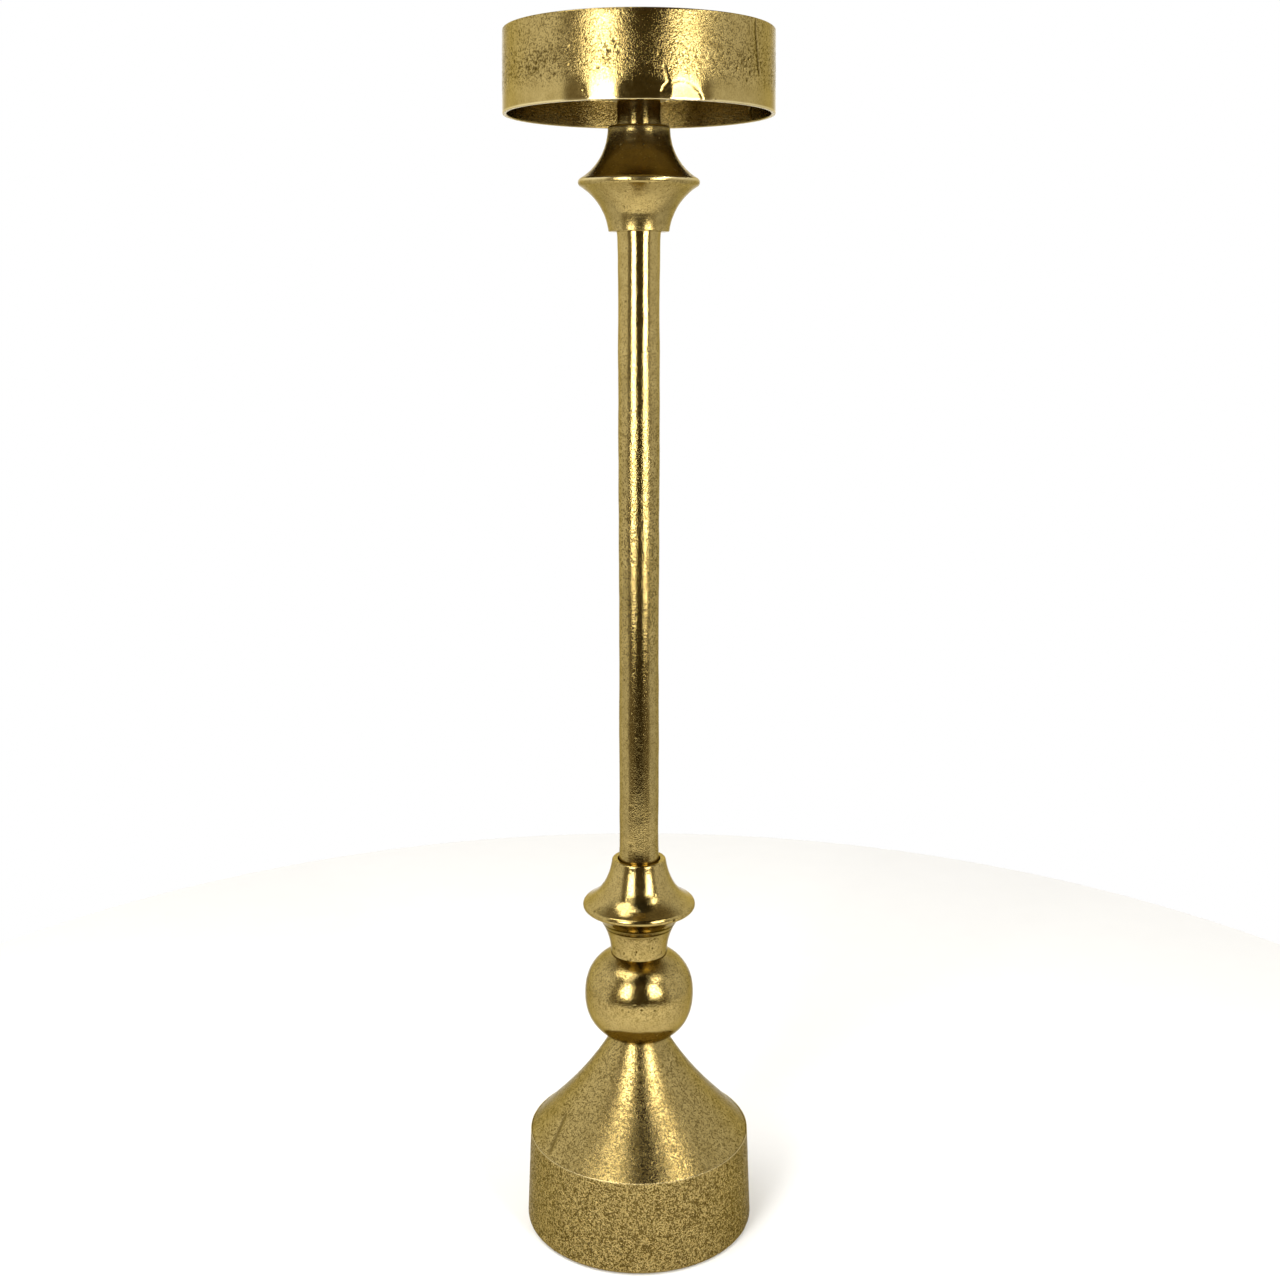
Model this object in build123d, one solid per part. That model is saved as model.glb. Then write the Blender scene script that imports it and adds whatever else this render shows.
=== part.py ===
"""Floor-standing pillar candle holder, 0.95 m tall.

Sand-cast pieces and two tubes are stacked on one axis and drawn together by a hidden M8 tie rod.
All sizes are in millimetres. +Z is up, and the origin is on the floor, on the axis of the column.
Every piece is drawn from its own foot, at height 0, and then lifted to its place in the stack.
"""

import os
from math import asin, copysign, cos, pi, radians, sin, tan

from build123d import *

# Fasteners: M8
THREAD_R = 4.0
SHANK_R = 3.6
THREADED_LENGTH = 45.0
THREAD_CHAMFER = 0.8
NUT_BORE_R = 4.03
NUT_ACROSS_FLATS = 13.0
NUT_FACE_SHARE = 0.97
NUT_TURNED_ANGLE = 30.0
NUT_H = 6.5
JAM_NUT_H = 4.0
CLEARANCE_HOLE_R = 4.5
SPRING_WASHER_R = 7.4
SPRING_WASHER_BORE_R = 4.15
SPRING_WASHER_T = 2.0
SPRING_WASHER_GAP = 1.2
SPRING_WASHER_SLANT = 30.0
PLAIN_WASHER_R = 8.0
PLAIN_WASHER_BORE_R = 4.2
PLAIN_WASHER_T = 1.6
TIE_WASHER_R = 20.0
TIE_WASHER_T = 3.0
ROD_BELOW_JAM_NUT = 5.0
ROD_ABOVE_NUT = 1.9

# Floor pads, stuck to the rim of the base
PAD_COUNT = 6
PAD_R = 2.4
PAD_T = 1.5
PAD_RING_R = 88.3

# Spigots that centre one casting on the next
SPIGOT_R = 12.0
SPIGOT_H = 3.0
SPIGOT_PLAY = 0.4
SPIGOT_ROUND = 0.5
RECESS_PLAY = 0.5
CORE_R = 9.0
WEB_T = 10.0

# Base: a hollow cone let into the top of a slightly flared skirt
BASE_H = 163.0
BASE_R = 94.5
SKIRT_H = 78.2
SKIRT_TOP_R = 91.05
SKIRT_BORE_R = 85.3
SKIRT_BORE_TOP_R = 84.6
SKIRT_FOOT_ROUND = 2.0
CONE_FOOT_R = 90.55
CONE_FOOT_H = 77.8
CONE_FOOT_PLAY = 0.05
CONE_REBATE_H = 76.2
CONE_REGISTER_H = 73.2
CONE_REGISTER_R = 84.4
CONE_BORE_R = 82.0
CONE_TOP_R = 22.5
BASE_CAP_T = 15.0
BASE_CAP_PAD_R = 26.3

# Ball: a sphere with full shoulders, flat where it meets its neighbours
BALL_R = 44.7
BALL_HALF_H = 40.4
BALL_FULLNESS = 0.878
BALL_FLAT_H = 36.1
BALL_WALL = 7.0
BALL_STEPS = 12

# Lower collar
LOWER_COLLAR_H = 81.5
LOWER_COLLAR_FOOT_R = 23.2
LOWER_COLLAR_TOP_R = 21.7
LOWER_RIM_R = 45.8
LOWER_RIM_NOSE_R = 3.3
LOWER_RIM_H = 42.1
LOWER_RIM_NOSE_FROM = 63.1
LOWER_RIM_NOSE_TURN = -137.8
LOWER_SOCKET_R = 17.1
LOWER_SOCKET_DEPTH = 14.0

# Column tube, hand polished, so it is a little thicker towards both ends
COLUMN_SHOWN_H = 492.3
COLUMN_R = 16.0
COLUMN_END_R = 16.65
COLUMN_BORE_R = 14.0
COLUMN_SWELL_LENGTH = 45.0

# Upper collar
UPPER_COLLAR_H = 75.0
UPPER_COLLAR_FOOT_R = 22.7
UPPER_COLLAR_TOP_R = 23.0
UPPER_RIM_R = 45.15
UPPER_RIM_H = 35.25
UPPER_RIM_HALF_T = 2.75
UPPER_RIM_NOSE = 1.4
COLUMN_SOCKET_R = 17.1
COLUMN_SOCKET_DEPTH = 12.0
NECK_SOCKET_R = 16.4
NECK_SOCKET_DEPTH = 8.0

# Neck tube
NECK_R = 15.95
NECK_BORE_R = 13.95
NECK_SPIGOT_R = 13.6

# Candle pan: a drum with a land inside, part of the way up, that the seat plate is pressed into
PAN_GAP = 7.6
PAN_H = 58.4
PAN_FOOT_R = 100.0
PAN_TOP_R = 98.95
PAN_WALL_FOOT = 3.3
PAN_WALL_TOP = 3.2
PAN_LIP_ROUND = 1.2
LAND_R = 95.0
LAND_MARGIN = 1.0
LAND_SLOPE_H = 1.5
SEAT_H = 27.4
SEAT_T = 4.0
SEAT_PLAY = 0.03
SEAT_CHAMFER = 0.5
HUB_R = 21.0
HUB_FOOT_H = 10.4
NUT_POCKET_R = 11.0
NUT_POCKET_DEPTH = 13.0

# Roundings left by the moulder and the polisher
CAST_FILLET = 3.0
EDGE_ROUND = 0.8
COLLAR_TOP_ROUND = 1.8

# Directions in degrees and reaches of the curves, at their start and at their end
CONE_START, CONE_END = (134.6, 55.0), (121.1, 34.0)
CONE_BORE_START, CONE_BORE_END = (-58.0, 26.0), (-48.0, 42.0)
LOWER_TOP_START, LOWER_TOP_END = (-81.4, 18.0), (-26.9, 15.0)
LOWER_FOOT_START, LOWER_FOOT_END = (-164.7, 12.0), (-87.1, 15.4)
UPPER_TOP_START, UPPER_TOP_END = (-91.7, 14.6), (-29.3, 15.4)
UPPER_FOOT_START, UPPER_FOOT_END = (-150.5, 12.5), (-96.3, 13.9)
COLUMN_SWELL_START, COLUMN_SWELL_END = (97.0, 8.0), (90.0, 25.0)
COLUMN_TOP_SWELL_START, COLUMN_TOP_SWELL_END = (90.0, 25.0), (83.0, 8.0)

# The stack, from the floor up
BASE_Z = PAD_T
BALL_Z = BASE_Z + BASE_H
LOWER_COLLAR_Z = BALL_Z + 2 * BALL_FLAT_H
COLUMN_Z = LOWER_COLLAR_Z + LOWER_COLLAR_H - LOWER_SOCKET_DEPTH
COLUMN_L = LOWER_SOCKET_DEPTH + COLUMN_SHOWN_H + COLUMN_SOCKET_DEPTH
UPPER_COLLAR_Z = COLUMN_Z + COLUMN_L - COLUMN_SOCKET_DEPTH
NECK_Z = UPPER_COLLAR_Z + UPPER_COLLAR_H - NECK_SOCKET_DEPTH
PAN_Z = UPPER_COLLAR_Z + UPPER_COLLAR_H + PAN_GAP
NECK_L = PAN_Z + HUB_FOOT_H - NECK_Z

# The fasteners at each end of the rod
TIE_WASHER_Z = BASE_Z + BASE_H - BASE_CAP_T - TIE_WASHER_T
LOWER_SPRING_WASHER_Z = TIE_WASHER_Z - SPRING_WASHER_T
LOWER_NUT_Z = LOWER_SPRING_WASHER_Z - NUT_H
JAM_NUT_Z = LOWER_NUT_Z - JAM_NUT_H
ROD_Z = JAM_NUT_Z - ROD_BELOW_JAM_NUT
UPPER_WASHER_Z = PAN_Z + SEAT_H - NUT_POCKET_DEPTH
UPPER_SPRING_WASHER_Z = UPPER_WASHER_Z + PLAIN_WASHER_T
UPPER_NUT_Z = UPPER_SPRING_WASHER_Z + SPRING_WASHER_T
ROD_L = UPPER_NUT_Z + NUT_H + ROD_ABOVE_NUT - ROD_Z

ON_FOOT = (Align.CENTER, Align.CENTER, Align.MIN)


def spun(edges, rounds=()):
    """The solid swept by a closed outline of (radius, height) edges, with some corners rounded.

    Each round is (radius, height, rounding) and acts on the corner nearest to that point."""
    outline = make_face(Wire(edges))
    for radius, height, rounding in rounds:
        corner = outline.vertices().sort_by_distance((radius, height, 0))[0]
        outline = fillet(corner, rounding)
    return revolve(Plane.XZ * outline, Axis.Z)


def ring(outer_r, bore_r, thickness):
    """A flat ring with its foot at height 0."""
    return Cylinder(outer_r, thickness, align=ON_FOOT) - Cylinder(bore_r, thickness, align=ON_FOOT)


def flare(start, leaving, end, arriving):
    """A curve from start to end. Leaving and arriving are its (direction, reach) at each of them."""
    leave = Vector(*start) + Vector(leaving[1], 0).rotate(Axis.Z, leaving[0])
    arrive = Vector(*end) - Vector(arriving[1], 0).rotate(Axis.Z, arriving[0])
    return Bezier(start, leave, arrive, end)


def path(*points):
    """Straight edges through the points."""
    return Polyline(*points).edges()


def base_skirt():
    """The ring of the base, with a rebate inside its top edge that the cone stands in."""
    outline = path(
        (SKIRT_BORE_R, 0),
        (BASE_R, 0),
        (SKIRT_TOP_R, SKIRT_H),
        (CONE_FOOT_R + CONE_FOOT_PLAY, SKIRT_H),
        (CONE_FOOT_R + CONE_FOOT_PLAY, CONE_REBATE_H),
        (SKIRT_BORE_TOP_R, CONE_REBATE_H),
        (SKIRT_BORE_R, 0),
    )
    return spun(outline, [(BASE_R, 0, SKIRT_FOOT_ROUND), (SKIRT_BORE_R, 0, EDGE_ROUND)])


def base_cone():
    """The hollow cone, with a thick cap that takes the rod and a spigot for the ball."""
    cap_foot_h = BASE_H - BASE_CAP_T
    foot = path(
        (CONE_BORE_R, CONE_REGISTER_H),
        (CONE_REGISTER_R, CONE_REGISTER_H),
        (CONE_REGISTER_R, CONE_REBATE_H),
        (CONE_FOOT_R, CONE_REBATE_H),
        (CONE_FOOT_R, CONE_FOOT_H),
    )
    outside = flare((CONE_FOOT_R, CONE_FOOT_H), CONE_START, (CONE_TOP_R, BASE_H), CONE_END)
    top = path(
        (CONE_TOP_R, BASE_H),
        (SPIGOT_R, BASE_H),
        (SPIGOT_R, BASE_H + SPIGOT_H),
        (CLEARANCE_HOLE_R, BASE_H + SPIGOT_H),
        (CLEARANCE_HOLE_R, cap_foot_h),
        (BASE_CAP_PAD_R, cap_foot_h),
    )
    bore_foot = (CONE_BORE_R, CONE_REGISTER_H)
    inside = flare((BASE_CAP_PAD_R, cap_foot_h), CONE_BORE_START, bore_foot, CONE_BORE_END)
    return spun([*foot, outside, *top, inside], [(SPIGOT_R, BASE_H + SPIGOT_H, SPIGOT_ROUND)])


def floor_pads():
    """Round pads spaced round the rim of the base."""
    pad = Cylinder(PAD_R, PAD_T, align=ON_FOOT)
    return Compound(children=[loc * pad for loc in PolarLocations(PAD_RING_R, PAD_COUNT)])


def full(share):
    """A share of the ball's radius, from -1 to 1, moved outwards to fill its shoulders."""
    return copysign(abs(share) ** BALL_FULLNESS, share)


def ball_point(angle):
    """A point of the ball's outline, at an angle above its equator."""
    return (BALL_R * full(cos(angle)), BALL_FLAT_H + BALL_HALF_H * full(sin(angle)))


def ball():
    """The ball, cored from below: an open foot, a web at the top and a recess for the collar."""
    reach = asin((BALL_FLAT_H / BALL_HALF_H) ** (1 / BALL_FULLNESS))
    points = [ball_point(reach * (2 * i / BALL_STEPS - 1)) for i in range(BALL_STEPS + 1)]
    flat_r, top = points[-1][0], 2 * BALL_FLAT_H
    recess_r = SPIGOT_R + SPIGOT_PLAY
    recess_h = top - SPIGOT_H - RECESS_PLAY
    core_h = recess_h - BALL_WALL
    core_r = BALL_R - BALL_WALL
    head = path((flat_r, top), (recess_r, top), (recess_r, recess_h), (CLEARANCE_HOLE_R, recess_h))
    web = path((CLEARANCE_HOLE_R, recess_h), (CLEARANCE_HOLE_R, core_h), (recess_r, core_h))
    core = ThreePointArc((recess_r, core_h), (core_r, BALL_FLAT_H), (recess_r, BALL_WALL))
    foot = path((recess_r, BALL_WALL), (recess_r, 0), (flat_r, 0))
    return spun([Spline(*points), *head, *web, core, *foot])


def lower_collar():
    """The collar with a thick round rim, a spigot below and an open socket for the column above."""
    nose_r, nose_h = LOWER_RIM_R - LOWER_RIM_NOSE_R, LOWER_RIM_H
    nose = CenterArc((nose_r, nose_h), LOWER_RIM_NOSE_R, LOWER_RIM_NOSE_FROM, LOWER_RIM_NOSE_TURN)
    above = flare((LOWER_COLLAR_TOP_R, LOWER_COLLAR_H), LOWER_TOP_START, nose @ 0, LOWER_TOP_END)
    below = flare(nose @ 1, LOWER_FOOT_START, (LOWER_COLLAR_FOOT_R, 0), LOWER_FOOT_END)
    foot = path(
        (LOWER_COLLAR_FOOT_R, 0),
        (SPIGOT_R, 0),
        (SPIGOT_R, -SPIGOT_H),
        (CLEARANCE_HOLE_R, -SPIGOT_H),
        (CLEARANCE_HOLE_R, WEB_T),
        (CORE_R, WEB_T),
    )
    socket_h = LOWER_COLLAR_H - LOWER_SOCKET_DEPTH
    socket = path(
        (CORE_R, WEB_T),
        (CORE_R, socket_h),
        (LOWER_SOCKET_R, socket_h),
        (LOWER_SOCKET_R, LOWER_COLLAR_H),
        (LOWER_COLLAR_TOP_R, LOWER_COLLAR_H),
    )
    rounds = [
        (LOWER_COLLAR_TOP_R, LOWER_COLLAR_H, COLLAR_TOP_ROUND),
        (LOWER_SOCKET_R, LOWER_COLLAR_H, EDGE_ROUND),
        (LOWER_COLLAR_FOOT_R, 0, EDGE_ROUND),
    ]
    return spun([above, nose, below, *foot, *socket], rounds)


def column_tube():
    """The long tube, with both ends swelled a little."""
    foot_swell = LOWER_SOCKET_DEPTH + COLUMN_SWELL_LENGTH
    top_swell = COLUMN_L - COLUMN_SOCKET_DEPTH - COLUMN_SWELL_LENGTH
    foot = (COLUMN_END_R, LOWER_SOCKET_DEPTH)
    top = (COLUMN_END_R, COLUMN_L - COLUMN_SOCKET_DEPTH)
    edges = [
        Line((COLUMN_BORE_R, 0), (COLUMN_END_R, 0)),
        Line((COLUMN_END_R, 0), foot),
        flare(foot, COLUMN_SWELL_START, (COLUMN_R, foot_swell), COLUMN_SWELL_END),
        Line((COLUMN_R, foot_swell), (COLUMN_R, top_swell)),
        flare((COLUMN_R, top_swell), COLUMN_TOP_SWELL_START, top, COLUMN_TOP_SWELL_END),
        Line(top, (COLUMN_END_R, COLUMN_L)),
        Line((COLUMN_END_R, COLUMN_L), (COLUMN_BORE_R, COLUMN_L)),
        Line((COLUMN_BORE_R, COLUMN_L), (COLUMN_BORE_R, 0)),
    ]
    return spun(edges)


def upper_collar():
    """The collar with a thin rim, with a socket for the column below and one for the neck above."""
    nose_r = UPPER_RIM_R - UPPER_RIM_NOSE
    nose_top, nose_foot = UPPER_RIM_H + UPPER_RIM_HALF_T, UPPER_RIM_H - UPPER_RIM_HALF_T
    nose = ThreePointArc((nose_r, nose_top), (UPPER_RIM_R, UPPER_RIM_H), (nose_r, nose_foot))
    above = flare((UPPER_COLLAR_TOP_R, UPPER_COLLAR_H), UPPER_TOP_START, (nose_r, nose_top), UPPER_TOP_END)
    below = flare((nose_r, nose_foot), UPPER_FOOT_START, (UPPER_COLLAR_FOOT_R, 0), UPPER_FOOT_END)
    neck_floor = UPPER_COLLAR_H - NECK_SOCKET_DEPTH
    inside = path(
        (UPPER_COLLAR_FOOT_R, 0),
        (COLUMN_SOCKET_R, 0),
        (COLUMN_SOCKET_R, COLUMN_SOCKET_DEPTH),
        (CORE_R, COLUMN_SOCKET_DEPTH),
        (CORE_R, neck_floor),
        (NECK_SOCKET_R, neck_floor),
        (NECK_SOCKET_R, UPPER_COLLAR_H),
        (UPPER_COLLAR_TOP_R, UPPER_COLLAR_H),
    )
    rounds = [
        (UPPER_COLLAR_TOP_R, UPPER_COLLAR_H, COLLAR_TOP_ROUND),
        (UPPER_COLLAR_FOOT_R, 0, EDGE_ROUND),
        (COLUMN_SOCKET_R, 0, EDGE_ROUND),
    ]
    return spun([above, nose, below, *inside], rounds)


def neck_tube():
    """The short tube between the upper collar and the hub of the pan."""
    return ring(NECK_R, NECK_BORE_R, NECK_L)


def candle_pan():
    """The drum of the pan, whose wall is thicker where the seat plate is pressed in."""
    land_foot_h, land_top_h = SEAT_H - SEAT_T - LAND_MARGIN, SEAT_H + LAND_MARGIN
    foot_bore_r, top_bore_r = PAN_FOOT_R - PAN_WALL_FOOT, PAN_TOP_R - PAN_WALL_TOP
    outline = path(
        (foot_bore_r, 0),
        (PAN_FOOT_R, 0),
        (PAN_TOP_R, PAN_H),
        (top_bore_r, PAN_H),
        (top_bore_r, land_top_h + LAND_SLOPE_H),
        (LAND_R, land_top_h),
        (LAND_R, land_foot_h),
        (foot_bore_r, land_foot_h - LAND_SLOPE_H),
        (foot_bore_r, 0),
    )
    rounds = [
        (PAN_TOP_R, PAN_H, PAN_LIP_ROUND),
        (top_bore_r, PAN_H, PAN_LIP_ROUND),
        (PAN_FOOT_R, 0, EDGE_ROUND),
        (foot_bore_r, 0, EDGE_ROUND),
    ]
    return spun(outline, rounds)


def seat_plate():
    """The round plate that the candle stands on, with a hub below that hides the nut."""
    rim_r = LAND_R - SEAT_PLAY
    foot_h = SEAT_H - SEAT_T
    spigot_h = HUB_FOOT_H - SPIGOT_H
    pocket_h = SEAT_H - NUT_POCKET_DEPTH
    outline = path(
        (rim_r, foot_h),
        (rim_r, SEAT_H - SEAT_CHAMFER),
        (rim_r - SEAT_CHAMFER, SEAT_H),
        (NUT_POCKET_R, SEAT_H),
        (NUT_POCKET_R, pocket_h),
        (CLEARANCE_HOLE_R, pocket_h),
        (CLEARANCE_HOLE_R, spigot_h),
        (NECK_SPIGOT_R, spigot_h),
        (NECK_SPIGOT_R, HUB_FOOT_H),
        (HUB_R, HUB_FOOT_H),
        (HUB_R, foot_h),
        (rim_r, foot_h),
    )
    rounds = [
        (HUB_R, foot_h, CAST_FILLET),
        (HUB_R, HUB_FOOT_H, EDGE_ROUND),
        (NUT_POCKET_R, SEAT_H, EDGE_ROUND),
    ]
    return spun(outline, rounds)


def tie_rod():
    """The rod: a thinner shank between two rolled threads."""
    shank_top = ROD_L - THREADED_LENGTH
    tip_r = THREAD_R - THREAD_CHAMFER
    outline = path(
        (0, 0),
        (tip_r, 0),
        (THREAD_R, THREAD_CHAMFER),
        (THREAD_R, THREADED_LENGTH),
        (SHANK_R, THREADED_LENGTH + THREAD_R - SHANK_R),
        (SHANK_R, shank_top - THREAD_R + SHANK_R),
        (THREAD_R, shank_top),
        (THREAD_R, ROD_L - THREAD_CHAMFER),
        (tip_r, ROD_L),
        (0, ROD_L),
        (0, 0),
    )
    return spun(outline)


def nut(height):
    """A hexagon nut with its corners turned off on both faces."""
    hexagon = extrude(RegularPolygon(NUT_ACROSS_FLATS / 2, 6, major_radius=False), height)
    face_r = NUT_ACROSS_FLATS / 2 * NUT_FACE_SHARE
    widest_r = NUT_ACROSS_FLATS / 2 / cos(pi / 6)
    turned_h = (widest_r - face_r) * tan(radians(NUT_TURNED_ANGLE))
    turned = spun(
        path(
            (NUT_BORE_R, 0),
            (face_r, 0),
            (widest_r, turned_h),
            (widest_r, height - turned_h),
            (face_r, height),
            (NUT_BORE_R, height),
            (NUT_BORE_R, 0),
        )
    )
    return hexagon & turned


def spring_washer():
    """A split washer, pressed flat, with its slanted gap."""
    blank = ring(SPRING_WASHER_R, SPRING_WASHER_BORE_R, SPRING_WASHER_T)
    middle_r = (SPRING_WASHER_R + SPRING_WASHER_BORE_R) / 2
    cut = Box(SPRING_WASHER_R, SPRING_WASHER_GAP, 2 * SPRING_WASHER_R)
    return blank - Pos(middle_r, 0, SPRING_WASHER_T / 2) * Rot(SPRING_WASHER_SLANT, 0, 0) * cut


def stack():
    """Every piece with the height of its foot."""
    return {
        "floor_pads": (floor_pads(), 0),
        "base_skirt": (base_skirt(), BASE_Z),
        "base_cone": (base_cone(), BASE_Z),
        "tie_washer": (ring(TIE_WASHER_R, CLEARANCE_HOLE_R, TIE_WASHER_T), TIE_WASHER_Z),
        "lower_spring_washer": (spring_washer(), LOWER_SPRING_WASHER_Z),
        "lower_nut": (nut(NUT_H), LOWER_NUT_Z),
        "lower_jam_nut": (nut(JAM_NUT_H), JAM_NUT_Z),
        "tie_rod": (tie_rod(), ROD_Z),
        "ball": (ball(), BALL_Z),
        "lower_collar": (lower_collar(), LOWER_COLLAR_Z),
        "column_tube": (column_tube(), COLUMN_Z),
        "upper_collar": (upper_collar(), UPPER_COLLAR_Z),
        "neck_tube": (neck_tube(), NECK_Z),
        "candle_pan": (candle_pan(), PAN_Z),
        "seat_plate": (seat_plate(), PAN_Z),
        "upper_washer": (ring(PLAIN_WASHER_R, PLAIN_WASHER_BORE_R, PLAIN_WASHER_T), UPPER_WASHER_Z),
        "upper_spring_washer": (spring_washer(), UPPER_SPRING_WASHER_Z),
        "upper_nut": (nut(NUT_H), UPPER_NUT_Z),
    }


def main():
    os.makedirs("parts", exist_ok=True)
    for name, (piece, foot) in stack().items():
        export_step(Pos(0, 0, foot) * piece, f"parts/{name}.step")


main()
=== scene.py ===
"""The looks of the pillar candle holder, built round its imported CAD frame.

Every casting is a dense turned mesh. Its outline is cut from the CAD node that it replaces, so it keeps that
node's size, and its skin then gets the grain, pits, cracks and hand-polished waviness of the real metal.
Lengths in this file are in millimetres and heights are from the foot of the piece, unless a comment says
otherwise. Azimuths are in degrees, 0 on the camera's side and positive towards +X. Each call for noise has
a seed of its own, so that every run gives the same skin.
"""

from itertools import product
from math import pi, radians

import bmesh
import bpy
import numpy as np
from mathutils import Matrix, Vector


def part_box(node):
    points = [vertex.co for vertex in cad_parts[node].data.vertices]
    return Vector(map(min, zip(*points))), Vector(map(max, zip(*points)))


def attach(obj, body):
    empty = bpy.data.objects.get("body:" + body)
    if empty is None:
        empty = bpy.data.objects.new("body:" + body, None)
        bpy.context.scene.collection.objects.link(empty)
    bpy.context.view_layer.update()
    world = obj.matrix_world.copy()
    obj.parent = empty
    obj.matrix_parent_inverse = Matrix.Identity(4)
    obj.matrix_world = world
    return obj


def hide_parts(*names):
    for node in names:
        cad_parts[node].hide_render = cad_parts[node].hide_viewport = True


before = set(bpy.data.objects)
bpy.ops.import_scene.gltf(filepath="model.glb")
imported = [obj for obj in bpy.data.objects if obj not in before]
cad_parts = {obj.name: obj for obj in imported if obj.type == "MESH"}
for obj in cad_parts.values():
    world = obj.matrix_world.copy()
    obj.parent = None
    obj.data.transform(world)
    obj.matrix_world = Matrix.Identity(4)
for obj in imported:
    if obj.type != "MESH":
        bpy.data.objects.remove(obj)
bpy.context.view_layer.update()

MM = 0.001

# Outline cutting, with its distances in metres
WELD = 1e-6
ON_PLANE = 2e-6
CUT_DIGITS = 4
STRAIGHT_TURN = 1e-4
CORNER_TURN = radians(35)

# Camera, placed in metres
CAMERA_PLACE = (0.0008, -1.1999, 0.7670)
CAMERA_TILT = radians(77.42)
LENS_MM = 43.9
SENSOR_MM = 36.0

# Spacing of the points of a mesh where it is seen, and where nobody looks
FINE = 0.8
COARSE = 4.0

# Whole numbers that mix a place and a seed into one repeatable number
HASH_AXES = (374761393, 668265263, 2246822519)
HASH_SEED_STEP = 40503
HASH_SEED_START = 977
HASH_SHIFTS = (13, 16)
HASH_MIX = 1274126177

# How a crack strays from its route, and how round the hollow of a pit is
CRACK_STRAYS = 0.5
CRACK_STRAY_SIZE = 1.5
CRACK_STRAY_SEED = 71
CRACK_STRAY_AXES = (1, 1, 0.4)
PIT_ROUNDNESS = 1.5

# A scattered pit lies where the skin faces out at least this much
PITS_FACE_OUT = -0.3

# Studio
FLOOR_R = 950.0
FLOOR_SIDES = 96
FLOOR_COLOUR = (0.92, 0.92, 0.91)
FLOOR_SHADE = 0.99
BACKGROUND = 1.0

# Gold lacquer over cast metal, as linear colours
GOLD_DEEP = (0.050, 0.029, 0.003)
GOLD_MID = (0.30, 0.218, 0.072)
GOLD_PALE = (0.40, 0.302, 0.113)
# Pale rubbed gold, which also paints the highlight on the skirt's top edge
GOLD_WORN_AND_HIGHLIGHT = (0.78, 0.66, 0.36)
GOLD_GLANCING = (0.62, 0.56, 0.41)

# What the sand of a casting is made of. The first two are shares of the width of its lumps
COARSE_LUMPS = 2.3
PINHOLE_GAPS = 1.9
MOTTLE_SIZE = 9.0
SATIN_SIZE = 3.2
SATIN_SPREAD = (-0.03, 0.04)
SPECK_SOFTNESS = 0.045
USUAL_COVER = 0.475
DIRT_AND_SHADE_ROUGHNESS = 0.18


# ---------------------------------------------------------------- noise


def lattice(cells, seed):
    """A repeatable number from -1 to 1 for each whole-number place."""
    mixed = np.full(len(cells), seed * HASH_SEED_STEP + HASH_SEED_START, np.uint32)
    for axis, step in enumerate(HASH_AXES):
        mixed += cells[:, axis].astype(np.uint32) * np.uint32(step)
    first, second = (np.uint32(shift) for shift in HASH_SHIFTS)
    mixed = (mixed ^ (mixed >> first)) * np.uint32(HASH_MIX)
    mixed = mixed ^ (mixed >> second)
    return mixed.astype(float) / 2**31 - 1


def eased(share):
    """A share from 0 to 1, bent so that it starts and ends level."""
    return share * share * (3 - 2 * share)


def noise(points, size, seed):
    """Smooth noise from -1 to 1, whose lumps are about size across. Size may differ by axis."""
    place = points / np.asarray(size, float)
    cell = np.floor(place).astype(np.int64)
    share = eased(place - cell)
    total = np.zeros(len(points))
    for corner in product((0, 1), repeat=3):
        weight = np.prod(np.where(corner, share, 1 - share), axis=1)
        total += weight * lattice(cell + corner, seed)
    return total


def layers(points, size, seed, count, gain=0.5):
    """Several layers of noise, each at half the size of the one before."""
    total, most = np.zeros(len(points)), 0.0
    for i in range(count):
        strength = gain**i
        total += strength * noise(points, np.asarray(size, float) / 2**i, seed + i)
        most += strength
    return total / most


def between(value, low, high):
    """0 below low, 1 above high, and smooth in between."""
    return eased(np.clip((value - low) / (high - low), 0, 1))


def bump(value, middle, half_width):
    """1 at the middle, falling smoothly to 0 at half_width from it."""
    return eased(np.clip(1 - np.abs(value - middle) / half_width, 0, 1))


# ---------------------------------------------------------------- outlines


def cut_edges(node):
    """The edges in which the half plane y = 0, x > 0 cuts a turned CAD node, as point pairs in mm."""
    mesh = bmesh.new()
    mesh.from_mesh(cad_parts[node].data)
    bmesh.ops.remove_doubles(mesh, verts=mesh.verts, dist=WELD)
    everything = [*mesh.verts, *mesh.edges, *mesh.faces]
    cut = bmesh.ops.bisect_plane(
        mesh, geom=everything, dist=ON_PLANE, plane_co=(0, 0, 0), plane_no=(0, 1, 0)
    )["geom_cut"]
    edges = [e for e in cut if isinstance(e, bmesh.types.BMEdge)]
    edges = [e for e in edges if all(v.co.x > 0 and abs(v.co.y) <= 2 * ON_PLANE for v in e.verts)]

    def flat(place):
        return round(place.x / MM, CUT_DIGITS), round(place.z / MM, CUT_DIGITS)

    pairs = [tuple(flat(v.co) for v in e.verts) for e in edges]
    mesh.free()
    return pairs


def outline(node):
    """The closed outline of a turned CAD node as (radius, height) points, anticlockwise."""
    beside = {}
    for a, b in cut_edges(node):
        beside.setdefault(a, []).append(b)
        beside.setdefault(b, []).append(a)
    start = min(beside)
    loop, before = [start], None
    while True:
        onwards = [p for p in beside[loop[-1]] if p != before]
        before = loop[-1]
        if onwards[0] == start:
            break
        loop.append(onwards[0])
    points = np.array(loop)
    ahead = np.roll(points, -1, axis=0)
    area = np.sum(points[:, 0] * ahead[:, 1] - ahead[:, 0] * points[:, 1])
    return points if area > 0 else points[::-1]


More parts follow.
